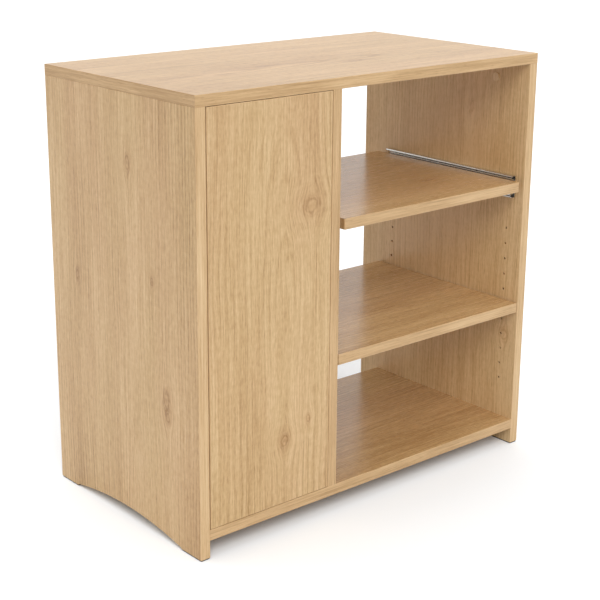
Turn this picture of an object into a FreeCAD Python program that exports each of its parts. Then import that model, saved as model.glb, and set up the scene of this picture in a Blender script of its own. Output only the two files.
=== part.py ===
import FreeCAD, Part
import math
import os

# Side desk: a floor-standing cabinet in oak-decor board. On the left is a cupboard behind
# a flush door without a handle, on the right are open bays with a pull-out shelf, an
# adjustable shelf and the base. Millimetres, +Z up, the front faces -Y, and the origin
# is on the floor at the middle of the plan.

# Carcass
width = 822.0
depth = 455.0
height = 810.0
board = 20.0
band = 1.0
base_clearance = 34.5
cupboard_width = 272.0
inner_depth = 401.0
shelf_setback = 0.5

# Arch cut from the lower edge of each side panel
foot_length = 58.5
arch_step = 2.7
arch_crown = 20.5

# Glides nailed under the feet: plates as large as each foot
glide_height = 2.5
glide_margin = 0.5
glide_corner_radius = 2.5
glide_chamfer = 0.6
glide_nail_radius = 1.2
glide_nail_length = 16.0
glide_nail_spacing = 32.0

# Back panel of the cupboard, let into grooves
back_board = 8.0
back_inset = 8.0
groove_depth = 7.0
groove_play = 0.2

# Knock-down joints: cam housing, bolt and dowels
cam_radius = 7.4
cam_depth = 13.5
cam_bore_play = 0.1
cam_distance = 34.0
cam_from_front = 85.0
cam_from_back = 81.0
bolt_hole_radius = 4.0
bolt_thread_radius = 2.5
bolt_thread_length = 11.0
bolt_body_radius = 3.2
bolt_neck_radius = 2.0
bolt_neck_length = 4.0
bolt_head_radius = 3.4
bolt_head_length = 3.0
cap_radius = 9.0
cap_height = 2.2
cap_chamfer = 0.6
dowel_radius = 4.0
dowel_in_face = 12.0
dowel_in_edge = 22.0
dowel_end_play = 1.0
dowel_from_front = 45.0
dowel_from_back = 40.0

# Rows of holes for shelf pins
pin_pitch = 32.0
first_pin_row = 136.6
bay_pin_rows = 11
bay_pin_from_front = 40.0
bay_pin_from_back = 37.0
cupboard_pin_from_front = 78.0
cupboard_pin_from_back = 61.0
cupboard_rows_left_out = 4
cupboard_pin_rows = 7
pin_hole_radius = 2.5
pin_hole_depth = 9.5
pin_end_play = 0.5
pin_head_radius = 3.5
pin_head_length = 7.0
pin_seat = 8.6
pocket_play = 0.5
middle_shelf_rows_up = 5
middle_shelf_gap = 2.0
cupboard_shelf_rows_up = 9
cupboard_shelf_gap = 1.5
cupboard_shelf_setback = 58.0

# Door
door_board = 16.0
door_gap = 2.0
door_reveal = 1.0
hinge_from_end = 100.0

# Cup hinges with one pin and a goose-neck arm
cup_radius = 17.5
cup_tab = 4.5
cup_depth = 12.5
cup_wall = 0.6
cup_play = 0.05
flange_gauge = 1.2
flange_rim = 2.0
flange_screw_offset = 9.5
flange_screw_spacing = 45.0
flange_ear_radius = 5.5
hinge_pin_radius = 1.3
hinge_pin_play = 0.05
hinge_pin_offset = 4.0
knuckle_radius = 2.2
knuckle_clearance = 0.3
arm_gauge = 2.0
arm_width = 12.0
arm_angle = 30.0
arm_bend_radius = 9.0
arm_reach = 24.0
arm_heel_radius = 4.0
arm_height = 8.0
arm_length = 54.0
arm_lip_gauge = 1.2
arm_lip_play = 0.3
plate_screw_line = 37.0
plate_screw_spacing = 32.0
plate_gauge = 2.5
plate_rail_width = 8.6
plate_rail_front = 10.0
plate_rail_length = 44.0
plate_wing_radius = 7.0
arm_screw_radius = 2.0
arm_screw_head_radius = 3.8
arm_screw_head_height = 1.8
arm_screw_slot = 1.0
arm_screw_spacing = 24.0

# Push latch
latch_from_top = 60.0
latch_body = 16.0
latch_plate = 2.0
latch_length = 75.0
latch_front_gap = 6.0
latch_bore_radius = 4.1
latch_bore_play = 0.1
latch_bore_end = 5.0
latch_ear = 9.0
latch_corner_radius = 2.0
plunger_length = 42.0
magnet_length = 3.0
magnet_gap = 0.5
strike_radius = 7.0
strike_gauge = 1.0
spring_wire = 0.35
spring_coil_radius = 3.0
spring_pitch = 2.6
spring_end_gap = 0.5

# Pull-out shelf
pull_shelf_top = 559.0
pull_shelf_setback = 1.0
pull_corner_radius = 3.0

# Ball-bearing slides of three members
slide_length = 356.0
slide_travel = 350.0
slide_from_front = 22.0
slide_height = 45.0
slide_thickness = 12.7
slide_drop = 4.0
slide_gauge = 1.2
slide_lip = 1.7
slide_play = 0.3
outer_flange_end = 1.5
middle_flange_end = 1.7
middle_lip = 1.6
middle_front_gap = 2.0
middle_rear_gap = 12.4
inner_flange_depth = 7.2
large_ball_radius = 2.5
small_ball_radius = 1.8
large_ball_place = 6.0
small_ball_place = 8.2
ball_play = 0.35
ball_pitch = 16.0
ball_hole_play = 0.1
cage_gauge = 0.7
cage_length = 150.0
cage_front_play = 10.5
cage_leg = 3.2
cage_end_margin = 11.0
stop_length = 11.0
bumper_length = 9.0
bumper_half_height = 8.0
slide_screw_first = 35.0
slide_screw_pitch = 128.0
slide_screw_count = 3

# Screws with a countersunk head
screw_radius = 1.75
screw_head_radius = 3.4
screw_head_height = 2.0
long_screw = 14.0
short_screw = 11.5

# Two edges or faces nearer than this count as one place
touch = 0.01

# Planes that the pieces share
x_left = -width / 2
x_right = width / 2
y_front = -depth / 2
y_back = depth / 2
x_left_in = x_left + board
x_right_in = x_right - board
x_divider_left = x_left_in + cupboard_width
x_divider_right = x_divider_left + board
y_inner_back = y_front + inner_depth
top_under = height - board
base_under = base_clearance
base_top = base_under + board
y_back_panel = y_inner_back - back_inset - back_board
door_bottom = base_top + door_reveal
door_top = top_under - door_reveal
y_door_back = y_front + door_board

X = FreeCAD.Vector(1, 0, 0)
Y = FreeCAD.Vector(0, 1, 0)
Z = FreeCAD.Vector(0, 0, 1)

cuts = {}
nodes = {}


def point(x, y, z):
    return FreeCAD.Vector(x, y, z)


def block(low, high):
    """A box between two corners."""
    size = [high[i] - low[i] for i in range(3)]
    return Part.makeBox(size[0], size[1], size[2], point(*low))


def rod(start, direction, radius, length):
    return Part.makeCylinder(radius, length, start, direction)


def stepped_rod(start, direction, steps):
    """Cylinders in a row along one axis, joined: steps is a list of (length, radius)."""
    shape = None
    place = start
    for length, radius in steps:
        piece = rod(place, direction, radius, length)
        shape = piece if shape is None else shape.fuse(piece)
        place = place + direction * length
    return shape.removeSplitter()


def joined(shapes):
    """One solid made of pieces that touch or overlap."""
    return shapes[0].fuse(shapes[1:]).removeSplitter()


def cut_from(name, shape):
    """Note a hole, to be cut from the board of that name when it is finished."""
    cuts.setdefault(name, []).append(shape)


def group(shapes):
    return Part.makeCompound(shapes)


def screw(head_point, direction, length):
    """A countersunk screw whose flat head lies at head_point and points along direction."""
    cone = Part.makeCone(screw_head_radius, screw_radius, screw_head_height, head_point, direction)
    shank = rod(head_point, direction, screw_radius, length)
    return cone.fuse(shank).removeSplitter()


def banded(low, high, sides):
    """A board whose named edges carry edge bands: gives the core and a list of bands."""
    low = list(low)
    high = list(high)
    place = {"left": (0, -1), "right": (0, 1), "front": (1, -1), "back": (1, 1),
             "foot": (2, -1), "head": (2, 1)}
    bands = []
    for side in sides:
        axis, end = place[side]
        band_low = list(low)
        band_high = list(high)
        if end < 0:
            band_high[axis] = low[axis] + band
            low[axis] += band
        else:
            band_low[axis] = high[axis] - band
            high[axis] -= band
        bands.append(block(band_low, band_high))
    return block(low, high), bands


# Carcass boards

def arch_cutter(x_start, lowered):
    """The space under a side panel's arch, as wide as the board, its curve lowered by a band."""
    reach = depth / 2 - foot_length
    shoulder = glide_height + arch_step - lowered
    crown = glide_height + arch_crown - lowered
    under = glide_height - board
    start = point(x_start, -reach, shoulder)
    end = point(x_start, reach, shoulder)
    curve = Part.Arc(start, point(x_start, 0, crown), end).toShape()
    floor_end = point(x_start, reach, under)
    floor_start = point(x_start, -reach, under)
    corners = [end, floor_end, floor_start, start]
    sides = [Part.makeLine(corners[i], corners[i + 1]) for i in range(3)]
    face = Part.Face(Part.Wire([curve] + sides))
    return face.extrude(X * board)


def make_side_panel(name, x_start):
    low = (x_start, y_front, glide_height)
    high = (x_start + board, y_back, top_under)
    core, bands = banded(low, high, ["front", "back"])
    nodes[name] = core
    cut_from(name, arch_cutter(x_start, 0.0))
    bands.append(arch_cutter(x_start, 0.0).cut(arch_cutter(x_start, band)))
    return bands


def make_carcass():
    """The five carcass boards and the bands on their edges."""
    top_low = (x_left, y_front, top_under)
    top_high = (x_right, y_back, height)
    nodes["top_panel"], bands = banded(top_low, top_high, ["front", "back", "left", "right"])
    bands += make_side_panel("left_side_panel", x_left)
    bands += make_side_panel("right_side_panel", x_right_in)
    divider_high = (x_divider_right, y_inner_back, top_under)
    divider_low = (x_divider_left, y_front, base_top)
    nodes["divider_panel"], more = banded(divider_low, divider_high, ["front", "back"])
    bands += more
    base_high = (x_right_in, y_inner_back, base_top)
    nodes["base_panel"], more = banded((x_left_in, y_front, base_under), base_high, ["front", "back"])
    bands += more
    nodes["carcass_edge_bands"] = group(bands)


def make_back_panel():
    """The cupboard's back board, and the grooves that hold it in the boards around it."""
    low = (x_left_in - groove_depth, y_back_panel, base_top - groove_depth)
    high = (x_divider_left + groove_depth, y_back_panel + back_board, top_under + groove_depth)
    nodes["cupboard_back_panel"] = block(low, high)
    groove_low = [low[i] - groove_play for i in range(3)]
    groove_high = [high[i] + groove_play for i in range(3)]
    for name in ("left_side_panel", "divider_panel", "base_panel", "top_panel"):
        cut_from(name, block(groove_low, groove_high))


def make_glides():
    """A plate with rounded corners and two nails under each of the four feet."""
    glides = []
    half = board / 2 - glide_margin
    half_length = foot_length / 2 - glide_margin
    for panel, x in (("left_side_panel", x_left + board / 2), ("right_side_panel", x_right - board / 2)):
        for y in (y_front + foot_length / 2, y_back - foot_length / 2):
            low = (x - half, y - half_length, 0.0)
            plate = block(low, (x + half, y + half_length, glide_height))
            upright = [edge for edge in plate.Edges if abs(edge.BoundBox.ZLength - glide_height) < touch]
            plate = plate.makeFillet(glide_corner_radius, upright)
            rim = [edge for edge in plate.Edges if edge.BoundBox.ZMax < touch]
            plate = plate.makeChamfer(glide_chamfer, rim)
            nails = [rod(point(x, y + away, glide_height), Z, glide_nail_radius, glide_nail_length)
                     for away in (-glide_nail_spacing / 2, glide_nail_spacing / 2)]
            glides.append(joined([plate] + nails))
            for nail in nails:
                cut_from(panel, nail)
    nodes["floor_glides"] = group(glides)


# Knock-down joints

def make_bolt(at, inward):
    """A bolt screwed into the face board, with its head in the cam of the edge board."""
    body = cam_distance - bolt_neck_length - bolt_head_length / 2
    steps = [(bolt_thread_length, bolt_thread_radius), (body, bolt_body_radius)]
    steps += [(bolt_neck_length, bolt_neck_radius), (bolt_head_length, bolt_head_radius)]
    return stepped_rod(at - inward * bolt_thread_length, inward, steps)


def make_cam(at, inward, outward):
    """A cam housing that opens to one face of the edge board, slotted for the bolt's head."""
    centre = at + inward * cam_distance + outward * (board / 2)
    drum = rod(centre, outward * -1, cam_radius, cam_depth)
    slot_start = at + inward * (cam_distance - 2 * cam_radius)
    return drum.cut(rod(slot_start, inward, bolt_hole_radius, 2 * cam_radius + bolt_hole_radius))


def make_cap(at, inward, outward):
    face = at + inward * cam_distance + outward * (board / 2)
    disc = rod(face, outward, cap_radius, cap_height)
    far = face + outward * cap_height
    rim = [edge for edge in disc.Edges if (edge.CenterOfMass - far).Length < touch]
    return disc.makeChamfer(cap_chamfer, rim)


def make_joint(found, face_board, edge_board, x, z, inward, outward, capped):
    """Cams, bolts and dowels along the line (x, z) where edge_board meets face_board."""
    cam_places = (y_front + cam_from_front, y_inner_back - cam_from_back)
    for y in cam_places:
        at = point(x, y, z)
        found["cam_bolts"].append(make_bolt(at, inward))
        found["cam_housings"].append(make_cam(at, inward, outward))
        if capped:
            found["cam_cover_caps"].append(make_cap(at, inward, outward))
        thread_end = at - inward * bolt_thread_length
        cut_from(face_board, rod(thread_end, inward, bolt_thread_radius, bolt_thread_length))
        cut_from(edge_board, rod(at, inward, bolt_hole_radius, cam_distance))
        seat = at + inward * cam_distance + outward * (board / 2)
        cut_from(edge_board, rod(seat, outward * -1, cam_radius + cam_bore_play, cam_depth + cam_bore_play))
    between = (cam_places[0] + cam_places[1]) / 2
    for y in (y_front + dowel_from_front, between, y_inner_back - dowel_from_back):
        start = point(x, y, z) - inward * dowel_in_face
        found["wooden_dowels"].append(rod(start, inward, dowel_radius, dowel_in_face + dowel_in_edge))
        hole = rod(start, inward, dowel_radius, dowel_in_face + dowel_in_edge + dowel_end_play)
        cut_from(face_board, hole)
        cut_from(edge_board, hole)


def make_joints():
    found = {"cam_housings": [], "cam_bolts": [], "cam_cover_caps": [], "wooden_dowels": []}
    half = board / 2
    base_middle = base_under + half
    make_joint(found, "top_panel", "left_side_panel", x_left + half, top_under, Z * -1, X, True)
    make_joint(found, "top_panel", "right_side_panel", x_right - half, top_under, Z * -1, X * -1, True)
    make_joint(found, "top_panel", "divider_panel", x_divider_left + half, top_under, Z * -1, X * -1, True)
    make_joint(found, "base_panel", "divider_panel", x_divider_left + half, base_top, Z, X * -1, True)
    make_joint(found, "left_side_panel", "base_panel", x_left_in, base_middle, X, Z * -1, False)
    make_joint(found, "right_side_panel", "base_panel", x_right_in, base_middle, X * -1, Z * -1, False)
    for name, solids in found.items():
        nodes[name] = group(solids)


# Shelves on pins

def pin_row_height(row):
    return first_pin_row + row * pin_pitch


def drill_pin_rows(name, x, direction, places, rows):
    """Rows of blind holes in one face of a board, for the shelf pins."""
    for y in places:
        for row in range(rows[0], rows[1]):
            hole = rod(point(x, y, pin_row_height(row)), direction, pin_hole_radius, pin_hole_depth)
            cut_from(name, hole)


def make_pinned_shelf(name, x_start, x_end, gap, y_start, y_end, row, places):
    """A loose shelf with a pocket over each of its four pins: gives the bands on its edges."""
    under = pin_row_height(row) - pin_seat
    high = (x_end - gap, y_end, under + board)
    nodes[name], bands = banded((x_start + gap, y_start, under), high, ["front", "back"])
    peg = pin_hole_depth - pin_end_play
    steps = [(peg, pin_hole_radius), (pin_head_length, pin_head_radius)]
    half = pin_head_radius + pocket_play
    pins = []
    for x, inward in ((x_start, X), (x_end, X * -1)):
        for y in places:
            at = point(x, y, pin_row_height(row))
            pins.append(stepped_rod(at - inward * peg, inward, steps))
            end = at + inward * (pin_head_length + pocket_play)
            pocket_low = (min(at.x, end.x), y - half, under)
            pocket_high = (max(at.x, end.x), y + half, at.z + pin_head_radius)
            cut_from(name, block(pocket_low, pocket_high))
    nodes[name + "_pins"] = group(pins)
    return bands


def make_shelves():
    bay_places = (y_front + bay_pin_from_front, y_inner_back - bay_pin_from_back)
    cupboard_places = (y_front + cupboard_pin_from_front, y_inner_back - cupboard_pin_from_back)
    rows = (0, bay_pin_rows)
    drill_pin_rows("divider_panel", x_divider_right, X * -1, bay_places, rows)
    drill_pin_rows("right_side_panel", x_right_in, X, bay_places, rows)
    rows = (cupboard_rows_left_out, cupboard_rows_left_out + cupboard_pin_rows)
    drill_pin_rows("left_side_panel", x_left_in, X * -1, cupboard_places, rows)
    drill_pin_rows("divider_panel", x_divider_left, X, cupboard_places, rows)
    bands = make_pinned_shelf("middle_shelf", x_divider_right, x_right_in, middle_shelf_gap,
                              y_front + shelf_setback, y_inner_back, middle_shelf_rows_up, bay_places)
    bands += make_pinned_shelf("cupboard_shelf", x_left_in, x_divider_left, cupboard_shelf_gap,
                               y_front + cupboard_shelf_setback, y_back_panel - cupboard_shelf_gap,
                               cupboard_shelf_rows_up, cupboard_places)
    nodes["shelf_edge_bands"] = group(bands)


# Door and its hinges

def make_door():
    low = (x_left_in + door_gap, y_front, door_bottom)
    high = (x_divider_left - door_reveal, y_door_back, door_top)
    nodes["door_panel"], bands = banded(low, high, ["left", "right", "foot", "head"])
    nodes["door_edge_bands"] = group(bands)


cup_x = x_left_in + door_gap + cup_tab + cup_radius
pivot_x = cup_x - hinge_pin_offset
cup_floor_y = y_door_back - cup_depth
pivot_y = cup_floor_y + cup_wall + knuckle_clearance + knuckle_radius


def make_cup(z):
    """A steel cup with a flange and two ears for its screws, and the hole that takes it."""
    shell_radius = cup_radius - cup_play
    flange = rod(point(cup_x, y_door_back, z), Y, cup_radius + flange_rim, flange_gauge)
    ear_x = cup_x + flange_screw_offset
    half = flange_screw_spacing / 2
    parts = [flange]
    parts.append(block((ear_x - flange_ear_radius, y_door_back, z - half),
                       (ear_x + flange_ear_radius, y_door_back + flange_gauge, z + half)))
    for end in (-half, half):
        parts.append(rod(point(ear_x, y_door_back, z + end), Y, flange_ear_radius, flange_gauge))
    parts.append(rod(point(cup_x, cup_floor_y, z), Y, shell_radius, cup_depth))
    floor = point(cup_x, cup_floor_y + cup_wall, z)
    cup = joined(parts).cut(rod(floor, Y, shell_radius - cup_wall, cup_depth + flange_gauge))
    cut_from("door_panel", rod(point(cup_x, cup_floor_y, z), Y, cup_radius, cup_depth))
    half_chord = math.sqrt(shell_radius ** 2 - (hinge_pin_offset + hinge_pin_radius) ** 2) - cup_play
    pin = rod(point(pivot_x, pivot_y, z - half_chord), Z, hinge_pin_radius, 2 * half_chord)
    screws = []
    for end in (-half, half):
        screws.append(screw(point(ear_x, y_door_back + flange_gauge, z + end), Y * -1, short_screw))
    for piece in screws:
        cut_from("door_panel", piece)
    return cup.cut([pin] + screws), pin, screws


def arm_path(z):
    """Centre line of the arm in plan: out of the cup, round the door's edge, along the side."""
    lean = math.radians(arm_angle)
    turn = math.pi - lean
    set_back = arm_bend_radius * math.tan(turn / 2)
    corner_x = pivot_x + arm_reach / math.tan(lean)
    bridge_y = pivot_y + arm_reach
    run = arm_reach / math.sin(lean) - set_back
    start = point(pivot_x, pivot_y, z)
    bend_start = start + point(math.cos(lean), math.sin(lean), 0) * run
    bend_end = point(corner_x - set_back, bridge_y, z)
    bend_centre = point(bend_end.x, bridge_y - arm_bend_radius, z)
    bend_middle = bend_centre + point(math.cos(lean / 2), math.sin(lean / 2), 0) * arm_bend_radius
    heel_x = x_left_in + arm_height
    heel_start = point(heel_x + arm_heel_radius, bridge_y, z)
    heel_end = point(heel_x, bridge_y + arm_heel_radius, z)
    heel_centre = point(heel_start.x, heel_end.y, z)
    slant = -arm_heel_radius / math.sqrt(2)
    heel_middle = heel_centre + point(slant, slant, 0)
    end = point(heel_x, heel_end.y + arm_length, z)
    edges = [Part.makeLine(start, bend_start), Part.Arc(bend_start, bend_middle, bend_end).toShape()]
    edges += [Part.makeLine(bend_end, heel_start), Part.Arc(heel_start, heel_middle, heel_end).toShape()]
    edges += [Part.makeLine(heel_end, end)]
    return Part.Wire(edges), heel_end, end


def make_arm(z):
    """The goose-neck arm: a bent strip with a knuckle round the pin and a channel at its heel."""
    low = z - arm_width / 2
    path, heel, end = arm_path(low)
    strip = Part.Face(path.makeOffset2D(arm_gauge / 2)).extrude(Z * arm_width)
    knuckle = rod(point(pivot_x, pivot_y, low), Z, knuckle_radius, arm_width)
    lip_front = y_front + door_board + plate_screw_line - plate_rail_front
    parts = [strip, knuckle]
    for side in (-1, 1):
        inside = plate_rail_width / 2 + arm_lip_play
        edge_a = z + side * inside
        edge_b = z + side * (inside + arm_lip_gauge)
        low_lip = (x_left_in + plate_gauge + arm_lip_play, lip_front, min(edge_a, edge_b))
        parts.append(block(low_lip, (heel.x, end.y, max(edge_a, edge_b))))
    bore = rod(point(pivot_x, pivot_y, low), Z, hinge_pin_radius + hinge_pin_play, arm_width)
    return joined(parts).cut(bore)


def make_plate(z):
    """The cross-shaped mounting plate on the side panel, with the rail that takes the arm."""
    line_y = y_front + door_board + plate_screw_line
    half = plate_screw_spacing / 2
    wing = block((x_left_in, line_y - plate_wing_radius, z - half),
                 (x_left_in + plate_gauge, line_y + plate_wing_radius, z + half))
    wings = [wing]
    screws = []
    for end in (-half, half):
        wings.append(rod(point(x_left_in, line_y, z + end), X, plate_wing_radius, plate_gauge))
        screws.append(screw(point(x_left_in + plate_gauge, line_y, z + end), X * -1, long_screw))
    for piece in screws:
        cut_from("left_side_panel", piece)
    rail_y = line_y - plate_rail_front
    rail_top = x_left_in + arm_height - arm_gauge / 2
    rail = block((x_left_in, rail_y, z - plate_rail_width / 2),
                 (rail_top, rail_y + plate_rail_length, z + plate_rail_width / 2))
    return joined([rail] + wings).cut(screws), screws


def make_arm_screws(z):
    """Two machine screws with slotted heads that clamp the arm to the plate's rail."""
    line_y = y_front + door_board + plate_screw_line
    top = x_left_in + arm_height + arm_gauge / 2
    shank = arm_height - arm_gauge
    steps = [(shank, arm_screw_radius), (arm_screw_head_height, arm_screw_head_radius)]
    screws = []
    holes = []
    for y in (line_y, line_y + arm_screw_spacing):
        start = point(top - shank, y, z)
        slot_low = (top + arm_screw_head_height / 2, y - arm_screw_head_radius, z - arm_screw_slot / 2)
        slot_high = (top + arm_screw_head_height, y + arm_screw_head_radius, z + arm_screw_slot / 2)
        screws.append(stepped_rod(start, X, steps).cut(block(slot_low, slot_high)))
        holes.append(rod(start, X, arm_screw_radius, shank + arm_gauge))
    return screws, holes


def make_hinges():
    pins = []
    cup_screws = []
    plate_screws = []
    arm_screws = []
    heights = {"lower": door_bottom + hinge_from_end, "upper": door_top - hinge_from_end}
    for name, z in heights.items():
        cup, pin, screws = make_cup(z)
        nodes[name + "_hinge_cup"] = cup
        pins.append(pin)
        cup_screws += screws
        plate, screws = make_plate(z)
        plate_screws += screws
        screws, holes = make_arm_screws(z)
        arm_screws += screws
        nodes[name + "_hinge_arm"] = make_arm(z).cut(holes)
        nodes[name + "_hinge_plate"] = plate.cut(holes)
    nodes["hinge_pins"] = group(pins)
    nodes["hinge_cup_screws"] = group(cup_screws)
    nodes["hinge_plate_screws"] = group(plate_screws)
    nodes["hinge_arm_screws"] = group(arm_screws)


# Push latch

latch_x = x_divider_left - latch_plate - latch_body / 2
latch_z = top_under - latch_from_top
latch_y = y_door_back + latch_front_gap
plunger_tip_y = y_door_back + strike_gauge + magnet_gap


def make_latch():
    """A sprung plunger in a housing on the divider, and the strike plate on the door."""
    half = latch_body / 2
    latch_end = latch_y + latch_length
    bore_end = latch_end - latch_bore_end
    body = block((latch_x - half, latch_y, latch_z - half), (latch_x + half, latch_end, latch_z + half))
    long_edges = [edge for edge in body.Edges if abs(edge.BoundBox.YLength - latch_length) < touch]
    body = body.makeFillet(latch_corner_radius, long_edges)
    wall = block((x_divider_left - latch_plate, latch_y, latch_z - half - latch_ear),
                 (x_divider_left, latch_end, latch_z + half + latch_ear))
    bore = rod(point(latch_x, latch_y, latch_z), Y, latch_bore_radius, bore_end - latch_y)
    screws = []
    for side in (-1, 1):
        for y in (latch_y + latch_ear, latch_end - latch_ear):
            at = point(x_divider_left - latch_plate, y, latch_z + side * (half + latch_ear / 2))
            screws.append(screw(at, X, short_screw))
    for piece in screws:
        cut_from("divider_panel", piece)
    nodes["latch_housing"] = joined([body, wall]).cut([bore] + screws)
    nodes["latch_screws"] = group(screws)

    plunger_radius = latch_bore_radius - latch_bore_play
    magnet = rod(point(latch_x, plunger_tip_y, latch_z), Y, plunger_radius, magnet_length)
    magnet_end = plunger_tip_y + magnet_length
    nodes["plunger_magnet"] = magnet
    nodes["latch_plunger"] = rod(point(latch_x, magnet_end, latch_z), Y, plunger_radius, plunger_length)

    spring_start = magnet_end + plunger_length + spring_end_gap
    spring_length = bore_end - spring_end_gap - spring_start
    helix = Part.makeHelix(spring_pitch, spring_length, spring_coil_radius)
    ring = Part.Circle(point(spring_coil_radius, 0, 0), Y, spring_wire).toShape()
    coil = Part.Wire(helix.Edges).makePipeShell([Part.Wire([ring])], True, True)
    coil.rotate(point(0, 0, 0), X, -90)
    coil.translate(point(latch_x, spring_start, latch_z))
    nodes["latch_spring"] = coil

    disc = rod(point(latch_x, y_door_back, latch_z), Y, strike_radius, strike_gauge)
    strike_screw = screw(point(latch_x, y_door_back + strike_gauge, latch_z), Y * -1, short_screw)
    nodes["strike_plate"] = disc.cut(strike_screw)
    nodes["strike_plate_screw"] = strike_screw
    cut_from("door_panel", strike_screw)


# Pull-out shelf and its slides

slide_start = y_front + slide_from_front
slide_end = slide_start + slide_length
slide_z = pull_shelf_top - board / 2 - slide_drop
outer_half = slide_height / 2
middle_half = outer_half - slide_gauge - 2 * (large_ball_radius + ball_play)
inner_half = middle_half - slide_gauge - 2 * (small_ball_radius + slide_play)
outer_cage_at = slide_gauge + slide_play
middle_web_at = outer_cage_at + cage_gauge + slide_play
inner_cage_at = middle_web_at + slide_gauge + slide_play
middle_start = slide_start + middle_front_gap
middle_end = slide_end - middle_rear_gap
cage_start = slide_start + slide_travel / 4 + cage_front_play


def slab(face, side, near, far, y_start, y_end, z_low, z_high):
    """A block beside a slide's mounting face, from near to far across the slide."""
    a = face + side * near
    b = face + side * far
    return block((min(a, b), y_start, slide_z + z_low), (max(a, b), y_end, slide_z + z_high))


def channel(face, side, web_at, flange_far, half, span, lip):
    """A rolled channel: a web, two flanges, and a lip along the free edge of each flange."""
    y_start, y_end = span
    inside = half - slide_gauge
    parts = [slab(face, side, web_at, web_at + slide_gauge, y_start, y_end, -half, half)]
    for sign in (-1, 1):
        edges = sorted((sign * inside, sign * half))
        parts.append(slab(face, side, web_at, flange_far, y_start, y_end, edges[0], edges[1]))
        lips = sorted((sign * lip[0], sign * lip[1]))
        parts.append(slab(face, side, flange_far - slide_gauge, flange_far, y_start, y_end, lips[0], lips[1]))
    return joined(parts)


def inner_channel(face, side):
    """The shelf's member: a web against the shelf's edge and two flanges towards the cabinet."""
    web_at = slide_thickness - slide_gauge
    flange_at = slide_thickness - inner_flange_depth
    parts = [slab(face, side, web_at, slide_thickness, slide_start, slide_end, -inner_half, inner_half)]
    for sign in (-1, 1):
        edges = sorted((sign * (inner_half - slide_gauge), sign * inner_half))
        parts.append(slab(face, side, flange_at, slide_thickness, slide_start, slide_end, edges[0], edges[1]))
    return joined(parts)


def cage_and_balls(face, side, web_at, ball_place, ball_radius, row_height):
    """A strip with two legs that keep a row of balls above and a row below in their raceways."""
    end = cage_start + cage_length
    leg_half = cage_gauge / 2
    parts = [slab(face, side, web_at, web_at + cage_gauge, cage_start, end, -row_height, row_height)]
    balls = []
    holes = []
    count = int((cage_length - 2 * cage_end_margin) / ball_pitch) + 1
    for sign in (-1, 1):
        middle = sign * row_height
        parts.append(slab(face, side, web_at, ball_place + cage_leg, cage_start, end,
                          middle - leg_half, middle + leg_half))
        for index in range(count):
            y = cage_start + cage_end_margin + index * ball_pitch
            centre = point(face + side * ball_place, y, slide_z + middle)
            balls.append(Part.makeSphere(ball_radius, centre))
            holes.append(rod(centre - Z * cage_gauge, Z, ball_radius + ball_hole_play, 2 * cage_gauge))
    return joined(parts).cut(holes), balls


def slide_screws(x, direction):
    screws = []
    for index in range(slide_screw_count):
        y = slide_start + slide_screw_first + index * slide_screw_pitch
        screws.append(screw(point(x, y, slide_z), direction, long_screw))
    return screws


def make_slide(name, face, side, panel, found):
    """One slide of three members between a panel's face and the edge of the pull-out shelf."""
    outer_far = slide_thickness - outer_flange_end
    outer_inside = outer_half - slide_gauge
    outer_lip = (outer_inside - slide_lip, outer_inside)
    outer = channel(face, side, 0.0, outer_far, outer_half, (slide_start, slide_end), outer_lip)
    outward = X * side
    cabinet = slide_screws(face + side * slide_gauge, outward * -1)
    for piece in cabinet:
        cut_from(panel, piece)
    nodes[name + "_slide_outer"] = outer.cut(cabinet)
    found["slide_cabinet_screws"] += cabinet

    middle_far = slide_thickness - middle_flange_end
    middle_span = (middle_start, middle_end)
    nodes[name + "_slide_intermediate"] = channel(face, side, middle_web_at, middle_far, middle_half,
                                                  middle_span, (middle_half, middle_half + middle_lip))
    inner = inner_channel(face, side)
    shelf_screws = slide_screws(face + side * (slide_thickness - slide_gauge), outward)
    for piece in shelf_screws:
        cut_from("pull_out_shelf", piece)
    nodes[name + "_slide_inner"] = inner.cut(shelf_screws)
    found["slide_shelf_screws"] += shelf_screws

    large_row = middle_half + large_ball_radius + ball_play
    cage, balls = cage_and_balls(face, side, outer_cage_at, large_ball_place, large_ball_radius,
                                 large_row)
    nodes[name + "_outer_cage"] = cage
    found["outer_cage_balls"] += balls
    small_row = inner_half + small_ball_radius + slide_play
    cage, balls = cage_and_balls(face, side, inner_cage_at, small_ball_place, small_ball_radius,
                                 small_row)
    nodes[name + "_inner_cage"] = cage
    found["inner_cage_balls"] += balls

    for sign in (-1, 1):
        edges = sorted((sign * middle_half, sign * (outer_lip[0] - slide_play)))
        stop = slab(face, side, middle_web_at, middle_far - slide_gauge,
                    middle_start, middle_start + stop_length, edges[0], edges[1])
        found["slide_front_stops"].append(stop)
    bumper_far = slide_thickness - inner_flange_depth - slide_play
    bumper = slab(face, side, slide_gauge, bumper_far, middle_end + slide_play,
                  middle_end + bumper_length, -bumper_half_height, bumper_half_height)
    found["slide_rear_bumpers"].append(bumper)


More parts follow.
